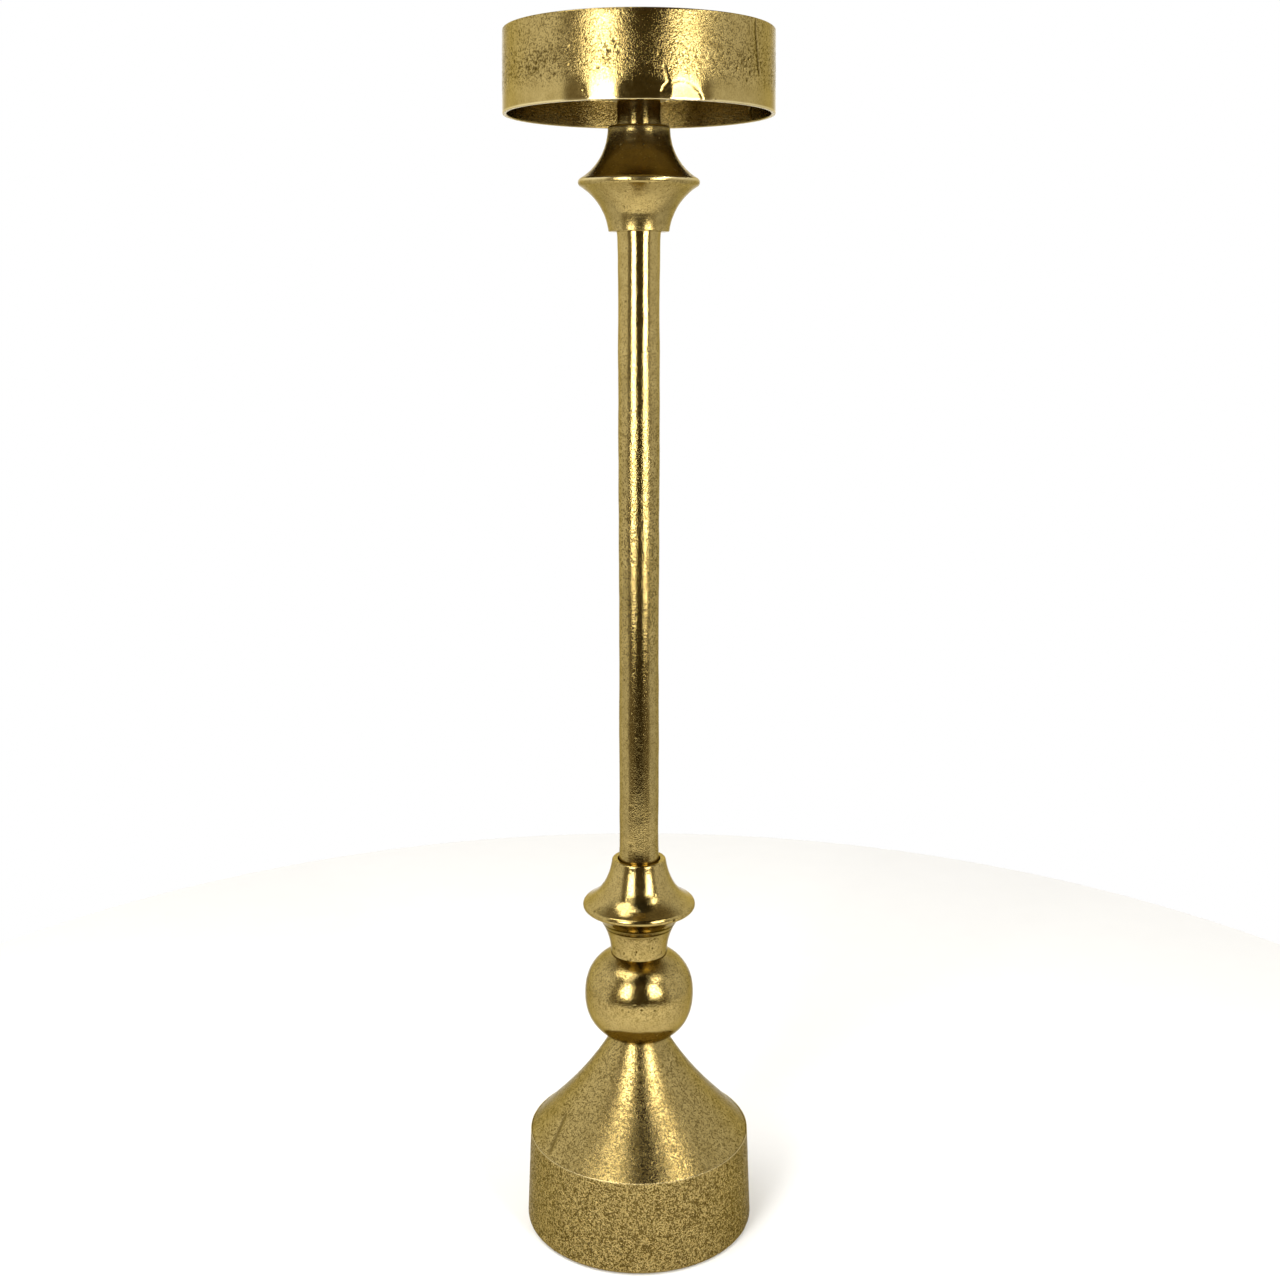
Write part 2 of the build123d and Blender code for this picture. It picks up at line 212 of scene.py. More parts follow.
def turns(points):
    """How far a closed outline turns at each of its points."""
    into = points - np.roll(points, 1, axis=0)
    out = np.roll(points, -1, axis=0) - points
    cross = into[:, 0] * out[:, 1] - into[:, 1] * out[:, 0]
    return np.abs(np.arctan2(cross, np.sum(into * out, axis=1)))


def without_straight(points):
    """The outline without the points that lie on a straight run."""
    return points[turns(points) > STRAIGHT_TURN]


def smooth_run(points, spacing):
    """A smooth curve through the points, with points no further apart than spacing(point)."""
    step = np.diff(points, axis=0)
    length = np.linalg.norm(step, axis=1)
    slope = step / length[:, None]
    tangent = np.empty_like(points)
    tangent[0], tangent[-1] = slope[0], slope[-1]
    weight = length[:, None] ** 2
    tangent[1:-1] = (slope[:-1] * weight[:-1] + slope[1:] * weight[1:]) / (weight[:-1] + weight[1:])
    made = []
    for i, reach in enumerate(length):
        count = max(1, int(np.ceil(reach / spacing((points[i] + points[i + 1]) / 2))))
        t = np.linspace(0, 1, count, endpoint=False)[:, None]
        a, b = points[i], points[i + 1]
        lean_a, lean_b = tangent[i] * reach, tangent[i + 1] * reach
        made.append(
            (2 * t**3 - 3 * t**2 + 1) * a
            + (t**3 - 2 * t**2 + t) * lean_a
            + (3 * t**2 - 2 * t**3) * b
            + (t**3 - t**2) * lean_b
        )
    return np.vstack(made)


def dense_outline(node, spacing):
    """A node's outline with close, evenly spaced points. Its sharp corners stay sharp."""
    points = without_straight(outline(node))
    corners = np.flatnonzero(turns(points) > CORNER_TURN)
    points = np.roll(points, -corners[0], axis=0)
    corners = np.append(corners - corners[0], len(points))
    closed = np.vstack([points, points[:1]])
    runs = [closed[a : b + 1] for a, b in zip(corners[:-1], corners[1:])]
    return np.vstack([smooth_run(run, spacing) for run in runs])


# ---------------------------------------------------------------- turned meshes


class Skin:
    """The points of a turned surface, and what is known about each of them.

    For every point, r and z are its radius and height in the frame, h its height from the foot of the piece,
    az its azimuth, and out_r and out_z the way that the smooth surface faces there."""

    def __init__(self, profile, columns, foot=0.0, closed=True):
        along = np.gradient(profile, axis=0)
        if closed:
            along = np.roll(profile, -1, axis=0) - np.roll(profile, 1, axis=0)
        along = along / np.maximum(np.linalg.norm(along, axis=1), 1e-9)[:, None]
        angle = np.arange(columns) * 2 * pi / columns
        self.rows, self.columns, self.closed = len(profile), columns, closed
        self.r = np.repeat(profile[:, 0], columns)
        self.z = np.repeat(profile[:, 1], columns)
        self.foot, self.h = foot, self.z - foot
        self.out_r = np.repeat(along[:, 1], columns)
        self.out_z = np.repeat(-along[:, 0], columns)
        self.angle = np.tile(angle, self.rows)
        self.az = np.degrees((self.angle + pi) % (2 * pi) - pi)
        self.marks = {}
        self.place(0.0)

    def place(self, relief):
        """Moves the points of the smooth surface out by relief."""
        r = self.r + relief * self.out_r
        self.points = np.stack(
            [r * np.sin(self.angle), -r * np.cos(self.angle), self.z + relief * self.out_z], axis=1
        )

    def at(self, az, height, inside=False):
        """The point at that azimuth and height, on the outer or the inner side."""
        z = self.foot + height
        level = self.r[np.abs(self.z - z) < FINE]
        r = level.min() if inside else level.max()
        turn = radians(az)
        return np.array([r * np.sin(turn), -r * np.cos(turn), z])

    def lumps(self, depth, size, seed, count=1, gain=0.5):
        """Noise of that depth on the surface, with lumps about size across, in count layers."""
        return depth * layers(self.points, size, seed, count, gain)

    def patches(self, size, seed):
        """Uneven patches on the surface, from 0 to 1."""
        return 0.5 + 0.5 * layers(self.points, size, seed, 3)

    def hill(self, az, height, az_reach, height_reach, power=2):
        """1 at one place, fading out over the two reaches. A high power gives it steep sides."""
        return np.exp(-(((self.az - az) / az_reach) ** power) - ((self.h - height) / height_reach) ** power)

    def mark(self, name, values):
        """Keeps a number for each point that the material can read."""
        self.marks[name] = np.clip(values, 0, 1)

    def mesh(self, name):
        """The finished mesh object, in metres."""
        index = np.arange(self.rows * self.columns).reshape(self.rows, self.columns)
        low = index if self.closed else index[:-1]
        high = np.roll(index, -1, axis=0) if self.closed else index[1:]
        quads = np.stack([low, np.roll(low, -1, axis=1), np.roll(high, -1, axis=1), high], axis=-1)
        quads = quads.reshape(-1, 4)
        data = bpy.data.meshes.new(name)
        data.vertices.add(len(self.points))
        data.vertices.foreach_set("co", (self.points * MM).ravel())
        data.loops.add(quads.size)
        data.loops.foreach_set("vertex_index", quads.ravel())
        data.polygons.add(len(quads))
        data.polygons.foreach_set("loop_start", np.arange(0, quads.size, 4))
        data.polygons.foreach_set("use_smooth", np.ones(len(quads), bool))
        data.update(calc_edges=True)
        data.validate()
        for mark, values in self.marks.items():
            data.attributes.new(mark, "FLOAT", "POINT").data.foreach_set("value", values)
        made = bpy.data.objects.new(name, data)
        bpy.context.scene.collection.objects.link(made)
        return made


def pits(skin, places, radii, depths):
    """The relief of round pits, deepest in the middle."""
    relief = np.zeros(len(skin.points))
    for place, radius, depth in zip(places, radii, depths):
        near = np.flatnonzero(np.abs(skin.points - place).max(axis=1) < radius)
        far = np.linalg.norm(skin.points[near] - place, axis=1) / radius
        hollow = np.clip(1 - far**2, 0, 1) ** PIT_ROUNDNESS
        relief[near] = np.minimum(relief[near], -depth * hollow)
    return relief


def crack(skin, places, width, depth):
    """The relief of a narrow groove that runs through the places."""
    relief = np.zeros(len(skin.points))
    for a, b in zip(places[:-1], places[1:]):
        low, high = np.minimum(a, b) - width, np.maximum(a, b) + width
        near = np.flatnonzero(np.all((skin.points > low) & (skin.points < high), axis=1))
        run = b - a
        share = np.clip((skin.points[near] - a) @ run / (run @ run), 0, 1)
        stray = CRACK_STRAYS * noise(skin.points[near], CRACK_STRAY_SIZE, CRACK_STRAY_SEED)
        strayed = skin.points[near] + stray[:, None] * np.array(CRACK_STRAY_AXES)
        far = np.linalg.norm(strayed - a - share[:, None] * run, axis=1) / width
        relief[near] = np.minimum(relief[near], -depth * np.clip(1 - far, 0, 1))
    return relief


def scattered(skin, chance, count, size, depth):
    """Pits at random places of the outside, more of them where chance(azimuth, height) is high."""
    dice = np.random.default_rng(count)
    outside = np.flatnonzero(skin.out_r > PITS_FACE_OUT)
    weights = chance[outside] * skin.r[outside]
    chosen = dice.choice(outside, count, p=weights / weights.sum())
    radii = dice.uniform(*size, count)
    depths = dice.uniform(*depth, count) * radii
    return pits(skin, skin.points[chosen], radii, depths)


def single_pits(skin, places):
    """The relief of pits that are given as azimuth, height, radius and depth."""
    spots = [skin.at(az, height) for az, height, _, _ in places]
    return pits(skin, spots, [radius for _, _, radius, _ in places], [depth for _, _, _, depth in places])


def dirt_and_shade_in(relief, full_depth, most):
    """How much the hollows of a relief are darkened, by dirt and, in the steps under the lower collar's rim,
    by painted shade: the most of it from full_depth down.
    """
    return np.clip(-relief / full_depth, 0, most)


def foot_of(node):
    """The height of a CAD node's lowest point in the frame."""
    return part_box(node)[0].z / MM


def top_of(node):
    """The height of a CAD node's highest point in the frame."""
    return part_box(node)[1].z / MM


# ---------------------------------------------------------------- materials


def fill_band(band, stops):
    """Puts (position, colour) stops, lowest first, on a colour ramp."""
    band.elements[0].position, band.elements[1].position = stops[0][0], stops[-1][0]
    for position, _ in stops[1:-1]:
        band.elements.new(position)
    for stop, (_, colour) in zip(band.elements, stops):
        stop.color = (*colour, 1)


class Tree:
    """The nodes of one material, with short calls for the kinds used here."""

    def __init__(self, name):
        self.material = bpy.data.materials.new(name)
        self.material.use_nodes = True
        self.nodes = self.material.node_tree.nodes
        self.links = self.material.node_tree.links
        self.shader = self.nodes["Principled BSDF"]
        self.place = self.nodes.new("ShaderNodeTexCoord").outputs["Object"]

    def feed(self, socket, value):
        """Links a socket, or sets a plain value on it."""
        if isinstance(value, bpy.types.NodeSocket):
            self.links.new(value, socket)
        elif value is not None:
            socket.default_value = value

    def stretched(self, scale):
        """The place on the piece, in cells: scale is cells per metre along each axis."""
        node = self.nodes.new("ShaderNodeMapping")
        self.links.new(self.place, node.inputs["Vector"])
        node.inputs["Scale"].default_value = scale
        return node.outputs["Vector"]

    def noise(self, size, detail=2.0, roughness=0.5, distortion=0.0):
        """Noise with lumps about size mm across. Size is one number or one for each axis."""
        sizes = size if isinstance(size, tuple) else (size, size, size)
        node = self.nodes.new("ShaderNodeTexNoise")
        self.links.new(self.stretched([1 / (s * MM) for s in sizes]), node.inputs["Vector"])
        node.inputs["Scale"].default_value = 1.0
        node.inputs["Detail"].default_value = detail
        node.inputs["Roughness"].default_value = roughness
        node.inputs["Distortion"].default_value = distortion
        return node.outputs["Fac"]

    def cells(self, size):
        """The distance from the nearest of many random places, size mm apart."""
        node = self.nodes.new("ShaderNodeTexVoronoi")
        self.links.new(self.stretched([1 / (size * MM)] * 3), node.inputs["Vector"])
        node.inputs["Scale"].default_value = 1.0
        return node.outputs["Distance"]

    def mark(self, name):
        """A number kept on the mesh by Skin.mark."""
        node = self.nodes.new("ShaderNodeAttribute")
        node.attribute_name = name
        return node.outputs["Fac"]

    def math(self, kind, a, b=None, c=None):
        """One step of arithmetic on sockets or plain numbers."""
        node = self.nodes.new("ShaderNodeMath")
        node.operation = kind
        for socket, value in zip(node.inputs, (a, b, c)):
            self.feed(socket, value)
        return node.outputs["Value"]

    def blend(self, a, share_a, b, share_b):
        """Two values, added by their shares."""
        return self.math("MULTIPLY_ADD", a, share_a, self.math("MULTIPLY", b, share_b))

    def spread(self, value, low, high, to_low=0.0, to_high=1.0):
        """Moves the range low to high onto to_low to to_high."""
        node = self.nodes.new("ShaderNodeMapRange")
        node.interpolation_type = "SMOOTHSTEP"
        self.feed(node.inputs["Value"], value)
        ends = {"From Min": low, "From Max": high, "To Min": to_low, "To Max": to_high}
        for socket, number in ends.items():
            self.feed(node.inputs[socket], number)
        return node.outputs["Result"]

    def ramp(self, value, stops):
        """A colour for each value, from (value, colour) stops."""
        node = self.nodes.new("ShaderNodeValToRGB")
        self.links.new(value, node.inputs["Fac"])
        fill_band(node.color_ramp, stops)
        return node.outputs["Color"]

    def mix(self, share, a, b):
        """Colour a, turning into colour b as share goes from 0 to 1."""
        node = self.nodes.new("ShaderNodeMix")
        node.data_type = "RGBA"
        self.feed(node.inputs["Factor"], share)
        for socket, colour in (("A", a), ("B", b)):
            found = [s for s in node.inputs if s.name == socket and s.type == "RGBA"][0]
            self.feed(found, colour if isinstance(colour, bpy.types.NodeSocket) else (*colour, 1))
        return [s for s in node.outputs if s.type == "RGBA"][0]

    def bump(self, height, depth, under=None):
        """A relief of height, where 1 stands depth mm proud. Under is the relief that it lies on."""
        node = self.nodes.new("ShaderNodeBump")
        node.inputs["Distance"].default_value = depth * MM
        self.links.new(height, node.inputs["Height"])
        if under is not None:
            self.links.new(under, node.inputs["Normal"])
        return node.outputs["Normal"]

    def set(self, **values):
        """Sets or links the shader's sockets, named with _ for a space."""
        for name, value in values.items():
            self.feed(self.shader.inputs[name.replace("_", " ")], value)


def cast_gold(name, grain, size, roughness, speck, cover=USUAL_COVER, lines=None, line_depth=0.0):
    """Antique gold lacquer on cast metal.

    The mark "grain" says where the sand shows, a second mark darkens the colour where dirt and lacquer have
    gathered and where shade is painted in, and a third lightens it where they are rubbed off and where a
    highlight is painted on an edge. Grain is the depth of the sand's relief, size the width of its lumps,
    speck how dark its hollows are and cover how much of it they take. Lines gives the size of tool marks
    along each axis."""
    tree = Tree(name)
    sand, grime_and_shade = tree.mark("grain"), tree.mark("grime_and_shade")
    fine = tree.noise(size, 3.0, 0.62)
    coarse = tree.noise(size * COARSE_LUMPS, 3.0, 0.55, 0.5)

    mottle = tree.blend(tree.noise(MOTTLE_SIZE, 4.0, 0.55), 0.6, fine, 0.4)
    tint = tree.ramp(mottle, [(0.34, GOLD_MID), (0.66, GOLD_PALE)])
    sunk = tree.blend(coarse, 0.35, fine, 0.65)
    hollow = tree.spread(sunk, cover + SPECK_SOFTNESS, cover - SPECK_SOFTNESS)
    specks = tree.math("MULTIPLY", hollow, tree.math("MULTIPLY", sand, speck))
    # The sand's specks, the dirt of the hollows and the painted shade all darken the gold here and make it
    # rougher
    dirt_and_shade = tree.math("MAXIMUM", specks, grime_and_shade)
    colour = tree.mix(tree.mark("worn_and_highlight"), tree.mix(dirt_and_shade, tint, GOLD_DEEP), GOLD_WORN_AND_HIGHLIGHT)

    smoothest, roughest = (roughness + change for change in SATIN_SPREAD)
    satin = tree.spread(tree.noise(SATIN_SIZE, 3.0, 0.6), 0.3, 0.7, smoothest, roughest)
    rough = tree.math("MULTIPLY_ADD", dirt_and_shade, DIRT_AND_SHADE_ROUGHNESS, satin)

    crust = tree.spread(fine, 0.34, 0.64)
    pinholes = tree.spread(tree.cells(size * PINHOLE_GAPS), 0.0, 0.32)
    height = tree.math("MULTIPLY_ADD", pinholes, 0.35, tree.blend(coarse, 0.8, crust, 0.6))
    relief = tree.bump(tree.math("MULTIPLY", height, sand), grain)
    if lines:
        relief = tree.bump(tree.noise(lines, 3.0, 0.65), line_depth, relief)
    tree.set(Base_Color=colour, Metallic=1.0, Roughness=rough, Normal=relief)
    tree.set(Specular_Tint=(*GOLD_GLANCING, 1))
    return tree.material


def zinc():
    """Bright zinc plating, a little cloudy, with fine rolling marks."""
    tree = Tree("zinc_plate")
    cloud = tree.noise(2.5, 4.0, 0.6)
    colour = tree.ramp(cloud, [(0.3, (0.42, 0.43, 0.44)), (0.7, (0.62, 0.62, 0.60))])
    relief = tree.bump(tree.noise((0.15, 0.15, 1.2), 3.0, 0.6), 0.012)
    rough = tree.spread(cloud, 0.3, 0.7, 0.26, 0.42)
    tree.set(Base_Color=colour, Metallic=1.0, Roughness=rough, Normal=relief)
    return tree.material


def rubber():
    """Dark foam rubber with open pores."""
    tree = Tree("pad_rubber")
    pores = tree.cells(0.45)
    stops = [(0.3, (0.018, 0.018, 0.019)), (0.7, (0.045, 0.044, 0.043))]
    colour = tree.ramp(tree.noise(1.1, 3.0, 0.6), stops)
    relief = tree.bump(tree.spread(pores, 0.0, 0.35), 0.06)
    tree.set(Base_Color=colour, Roughness=tree.spread(pores, 0.0, 0.5, 0.95, 0.75), Normal=relief)
    return tree.material


# ---------------------------------------------------------------- the castings


# The visible piece that stands for each CAD node, and the record's slot for its finish, which nothing here
# reads
PIECES = {
    "candle_pan": ("pan_drum", "pan_metal"),
    "seat_plate": ("pan_seat", "pan_metal"),
    "neck_tube": ("neck", "tube_metal"),
    "upper_collar": ("collar_upper", "collar_metal"),
    "column_tube": ("column", "tube_metal"),
    "lower_collar": ("collar_lower", "collar_metal"),
    "ball": ("ball_casting", "ball_metal"),
    "base_cone": ("cone", "base_metal"),
    "base_skirt": ("skirt", "base_metal"),
    "tie_rod": ("threaded_rod", "zinc_steel"),
}

# How finely each piece is turned: the columns round it, the radius outside which it is seen, and the spacing
# of its points outside and inside that radius
MESHING = {
    "candle_pan": (720, 0, FINE, COARSE),
    "seat_plate": (480, 12, 1.2, 1.6),
    "neck_tube": (160, 15, FINE, COARSE),
    "upper_collar": (400, 17.5, 0.6, COARSE),
    "column_tube": (128, 15, 1.4, 8.0),
    "lower_collar": (400, 17.5, 0.6, COARSE),
    "ball": (400, 24, 0.7, COARSE),
    "base_cone": (640, 24, 0.85, 5.0),
    "base_skirt": (760, 88, 0.8, 5.0),
}

# The gold of each piece, in the words of cast_gold. Turned marks run round a piece, drawn ones along it
TURNED, DRAWN = (6.0, 6.0, 0.35), (0.5, 0.5, 9.0)
TURNED_WIDE = (8.0, 8.0, 0.35)
GOLD = {
    "candle_pan": dict(name="gold_pan", grain=0.085, size=1.15, roughness=0.10, speck=0.8),
    "seat_plate": dict(name="gold_seat", grain=0.12, size=1.7, roughness=0.36, speck=0.7),
    "neck_tube": dict(
        name="gold_neck", grain=0.03, size=1.1, roughness=0.11, speck=0.6, lines=TURNED, line_depth=0.030
    ),
    "upper_collar": dict(
        name="gold_upper_collar", grain=0.05, size=1.0, roughness=0.20, speck=0.7, lines=TURNED,
        line_depth=0.030,
    ),
    "column_tube": dict(
        name="gold_column", grain=0.10, size=1.4, roughness=0.11, speck=0.75, lines=DRAWN, line_depth=0.012
    ),
    "lower_collar": dict(
        name="gold_lower_collar", grain=0.05, size=1.0, roughness=0.11, speck=0.75, lines=TURNED_WIDE,
        line_depth=0.020,
    ),
    "ball": dict(name="gold_ball", grain=0.05, size=1.0, roughness=0.09, speck=0.65),
    "base_cone": dict(name="gold_cone", grain=0.075, size=1.1, roughness=0.16, speck=0.85, cover=0.485),
    "base_skirt": dict(name="gold_skirt", grain=0.42, size=1.25, roughness=0.22, speck=0.95, cover=0.50),
}


def turned(node):
    """The smooth skin of a turned CAD node."""
    columns, seen_r, fine, coarse = MESHING[node]
    profile = dense_outline(node, lambda point: fine if point[0] > seen_r else coarse)
    return Skin(profile, columns, foot_of(node))


def finish_piece(skin, node, relief, material=None):
    """Moves the skin, makes its mesh and puts it in the place of the CAD node."""
    name, slot = PIECES[node]
    skin.place(relief)
    made = skin.mesh(name)
    made.data.materials.append(material or cast_gold(**GOLD[node]))
    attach(made, "root")
    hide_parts(node)


# Groups of pits on the drum: the azimuth and height of the middle, how far the group reaches both ways, the
# number of pits, and the ranges of their radii and of their depths as shares of the radius
DRUM_PIT_GROUPS = [
    (50, 27, 6, 9, 38, (0.7, 1.5), (0.5, 0.75)),
    (-45, 27, 12, 8, 110, (0.6, 1.3), (0.4, 0.7)),
    (-12, 30, 3, 5, 16, (0.6, 1.3), (0.4, 0.6)),
]
ANYWHERE = 1e-9

# Cracks of the drum: the azimuths and heights that each runs through, its width, its depth and whether it is
# on the inside. The first two make the cold shut in front, shaped like a Y
DRUM_CRACKS = [
    ([(9.9, 21), (11.2, 16), (11.6, 11), (9.9, 8), (9.1, 5)], 0.9, 0.5, False),
    ([(11.6, 10), (16.3, 12.5), (20.4, 11), (24, 6), (25.5, 1)], 0.7, 0.25, False),
    ([(54.4, 56), (54.2, 49), (55.2, 41), (56, 31), (57, 22)], 1.3, 0.8, False),
    ([(118, 13), (119.5, 9), (118, 4)], 1.3, 0.6, True),
]


def drum():
    """The wall of the candle pan: sandy, most of all half way up, with a polished band at its foot."""
    skin = turned("candle_pan")
    h, outer = skin.h, skin.out_r > 0.5
    patchy = skin.patches(14.0, seed=3)
    sandy = np.where(outer, between(h, 7, 19) * (0.68 + 0.32 * bump(h, 30, 20)), 0.9)
    grain = np.clip(sandy * (0.6 + 0.8 * patchy), 0, 1) + 0.12
    wave = skin.lumps(0.10, (30, 30, 12), seed=5) * outer
    sand = skin.lumps(0.035, 2.2, seed=11, count=3, gain=0.7) * grain
    chance = bump(h, 29, 20) ** 2 * patchy**2 * outer + 0.03 * outer
    holes = scattered(skin, chance, 520, (0.35, 0.95), (0.25, 0.5))
    for *place_and_reach, count, size, depth in DRUM_PIT_GROUPS:
        chance = skin.hill(*place_and_reach) * outer + ANYWHERE
        holes = np.minimum(holes, scattered(skin, chance, count, size, depth))
    flaws = drum_flaws(skin, outer)
    skin.mark("grain", grain)
    # The inner face of the drum gets a painted shade, because the inside of the pan lies in shadow. Its pits
    # and cracks gather dirt
    skin.mark("grime_and_shade", dirt_and_shade_in(holes + flaws, 0.35, 0.9) + 0.28 * (skin.out_r < -0.5))
    skin.mark("worn_and_highlight", 0.7 * bump(h, 0.6, 1.2) * (skin.out_r > -0.5))
    finish_piece(skin, "candle_pan", wave + sand + holes + flaws)


def drum_flaws(skin, outer):
    """The cracks of the drum, and the flat and the dent beside the one in front."""
    relief = np.zeros(len(skin.points))
    for route, width, depth, inside in DRUM_CRACKS:
        places = [skin.at(az, height, inside) for az, height in route]
        relief = np.minimum(relief, crack(skin, places, width, depth))
    facet = skin.hill(18.5, 5, 5.5, 5.5, power=4) * outer
    dent = skin.hill(10.7, 6.5, 1.3, 3) * outer
    return relief - 0.12 * facet - 0.35 * dent


def seat():
    """The plate that the candle stands on, sandy on both faces."""
    skin = turned("seat_plate")
    relief = skin.lumps(0.10, 5.0, seed=21, count=3) + skin.lumps(0.05, 2.0, seed=22, count=2)
    clear_of_hub = between(skin.r, 11.5, 13.5)
    holes = scattered(skin, np.abs(skin.out_z), 160, (0.6, 1.5), (0.3, 0.5))
    skin.mark("grain", 0.8 + skin.lumps(0.2, 8, seed=23))
    # The whole plate gets a painted shade, because it lies in shadow inside the pan. Its pits gather dirt,
    # and patches of it vary
    skin.mark("grime_and_shade", 0.38 + dirt_and_shade_in(holes, 0.4, 0.5) + skin.lumps(0.25, 18.0, seed=24, count=3))
    finish_piece(skin, "seat_plate", (relief + holes) * clear_of_hub)


def neck():
    """The short polished tube under the pan."""
    skin = turned("neck_tube")
    stains = skin.lumps(1.0, (4, 4, 9), seed=32, count=3)
    skin.mark("grain", np.full(len(skin.points), 0.3))
    skin.mark("grime_and_shade", 0.25 * between(stains, 0.1, 0.6))
    finish_piece(skin, "neck_tube", skin.lumps(0.05, (9, 9, 6), seed=31))


def collar_top():
    """The thin-rimmed collar under the pan, grainier below its rim."""
    skin = turned("upper_collar")
    h = skin.h
    below_rim = 1 - between(h, 32, 38)
    patchy = skin.patches(8.0, seed=41)
    wave = skin.lumps(0.09, (10, 10, 6), seed=42) + skin.lumps(0.05, (30, 30, 2.2), seed=43)
    sand = skin.lumps(0.035, 1.8, seed=44, count=3, gain=0.7)
    chance = 0.2 + patchy**3 + 0.5 * bump(h, 35, 6)
    holes = scattered(skin, chance, 170, (0.35, 0.9), (0.25, 0.5))
    skin.mark("grain", 0.30 + 0.35 * below_rim * patchy)
    skin.mark("grime_and_shade", dirt_and_shade_in(holes, 0.3, 0.8) + 0.2 * between(h, 66, 75) * patchy)
    skin.mark("worn_and_highlight", 0.6 * bump(h, 36.5, 1.8))
    finish_piece(skin, "upper_collar", wave + sand + holes)


# Single pits of the lower collar: azimuth, height, radius and depth
LOWER_COLLAR_PITS = [
    (15, 37, 1.3, 0.6), (13, 35.5, 1.0, 0.5), (38, 45, 1.8, 0.9), (-5, 12, 1.0, 0.5), (-7, 10, 0.9, 0.4),
]


def collar_low():
    """The collar with the thick rim, turned, with fine rings above the rim and steps below it."""
    skin = turned("lower_collar")
    h = skin.h
    patchy = skin.patches(8.0, seed=51)
    rings = skin.lumps(0.05, (60, 60, 1.3), seed=52) * bump(h, 52, 28)
    steps = -0.18 * (bump(h, 31.5, 1.6) + bump(h, 27.0, 1.3)) * (skin.out_r > 0)
    wave = skin.lumps(0.09, (12, 12, 7), seed=53)
    sand = skin.lumps(0.04, 1.8, seed=54, count=3, gain=0.7) * (1.3 - between(h, 35, 50))
    chance = 0.15 + patchy**3 + bump(h, 42, 5) + 0.8 * bump(h, 10, 10)
    holes = scattered(skin, chance, 210, (0.35, 1.0), (0.25, 0.5))
    holes = np.minimum(holes, single_pits(skin, LOWER_COLLAR_PITS))
    skin.mark("grain", 0.30 + 0.45 * (1 - between(h, 22, 46)) * patchy + 0.15)
    # Under the rim, round the steps, the colour gets a painted shade where the rim hides the light. The pits
    # gather dirt
    skin.mark("grime_and_shade", dirt_and_shade_in(holes + 2 * steps, 0.35, 0.85) + 0.35 * bump(h, 29, 7))
    finish_piece(skin, "lower_collar", rings + steps + wave + sand + holes)


def column():
    """The long tube, polished by hand, so that it wavers a little and its grain shows half way up."""
    skin = turned("column_tube")
    up = skin.h / (top_of("column_tube") - skin.foot)
    half_way = bump(up, 0.58, 0.36)
    slow = skin.lumps(0.20, (200, 200, 42), seed=61)
    bent = skin.lumps(0.17, (14, 14, 22), seed=62) + skin.lumps(0.07, (9, 9, 9), seed=63)
    sand = skin.lumps(0.05, (3.2, 3.2, 5), seed=64, count=2) * half_way
    holes = scattered(skin, 0.4 + skin.lumps(1.0, 20, seed=65) ** 2, 110, (0.8, 1.4), (0.15, 0.3))
    stains = skin.lumps(1.0, (6, 6, 25), seed=66, count=3)
    skin.mark("grain", 0.22 + 0.70 * half_way + 0.25 * (1 - between(up, 0.2, 0.5)))
    skin.mark("grime_and_shade", dirt_and_shade_in(holes, 0.3, 0.7) + 0.2 * between(stains, 0, 0.6))
    finish_piece(skin, "column_tube", (slow - 0.12 + bent + sand + holes) * (skin.out_r > 0))


def ball():
    """The ball, polished round its belly and left sandy at its shoulders."""
    skin = turned("ball")
    h, outer = skin.h, skin.out_r > -0.2
    polished = bump(h, 22, 20)
    patchy = skin.patches(9.0, seed=81)
    wave = skin.lumps(0.16, 16, seed=82) + skin.lumps(0.06, 7, seed=83)
    sand = skin.lumps(0.05, 2.0, seed=84, count=3, gain=0.7) * (1 - 0.8 * polished)
    holes = scattered(skin, 0.05 + (1 - polished) * patchy**2, 220, (0.4, 1.1), (0.25, 0.5))
    skin.mark("grain", 0.75 - 0.5 * polished + 0.2 * patchy)
    # Painted shade darkens the top of the ball, under the lower collar, and its foot, where it sits on the
    # cone. The pits gather dirt
    shaded = 0.25 * between(h, 63, 70)
    skin.mark("grime_and_shade", dirt_and_shade_in(holes, 0.35, 0.8) + shaded + 0.35 * (1 - between(h, 2, 8)))
    finish_piece(skin, "ball", (wave + sand + holes) * outer)


# The long hollow that the file left on the cone: azimuth and height of its ends, its width and its depth
CONE_SCRAPE = [(-56.4, 8.5), (-64.5, 29)]
CONE_SCRAPE_WIDTH = 3.2
CONE_SCRAPE_DEPTH = 0.45


def cone():
    """The sand-cast cone, evenly grained, with a long hollow left by the file at the left."""
    skin = turned("base_cone")
    outer = (skin.out_r > 0.05) & (skin.out_z > -0.2)
    patchy = skin.patches(12.0, seed=91)
    wave = skin.lumps(0.14, 26, seed=92) + skin.lumps(0.03, 9, seed=93)
    sand = skin.lumps(0.02, 2.0, seed=94, count=3, gain=0.7)
    ends = [skin.at(az, height) for az, height in CONE_SCRAPE]
    scrape = crack(skin, ends, CONE_SCRAPE_WIDTH, CONE_SCRAPE_DEPTH)
    holes = scattered(skin, 0.1 + patchy**3, 260, (0.4, 1.0), (0.2, 0.45))
    skin.mark("grain", 0.70 + 0.3 * patchy)
    # The top of the cone, under the ball, gets a painted shade. Its pits and the file's hollow gather dirt
    skin.mark("grime_and_shade", dirt_and_shade_in(holes + scrape, 0.5, 0.7) + 0.15 * between(skin.h, 80, 90))
    finish_piece(skin, "base_cone", (wave + sand + holes + scrape) * outer)


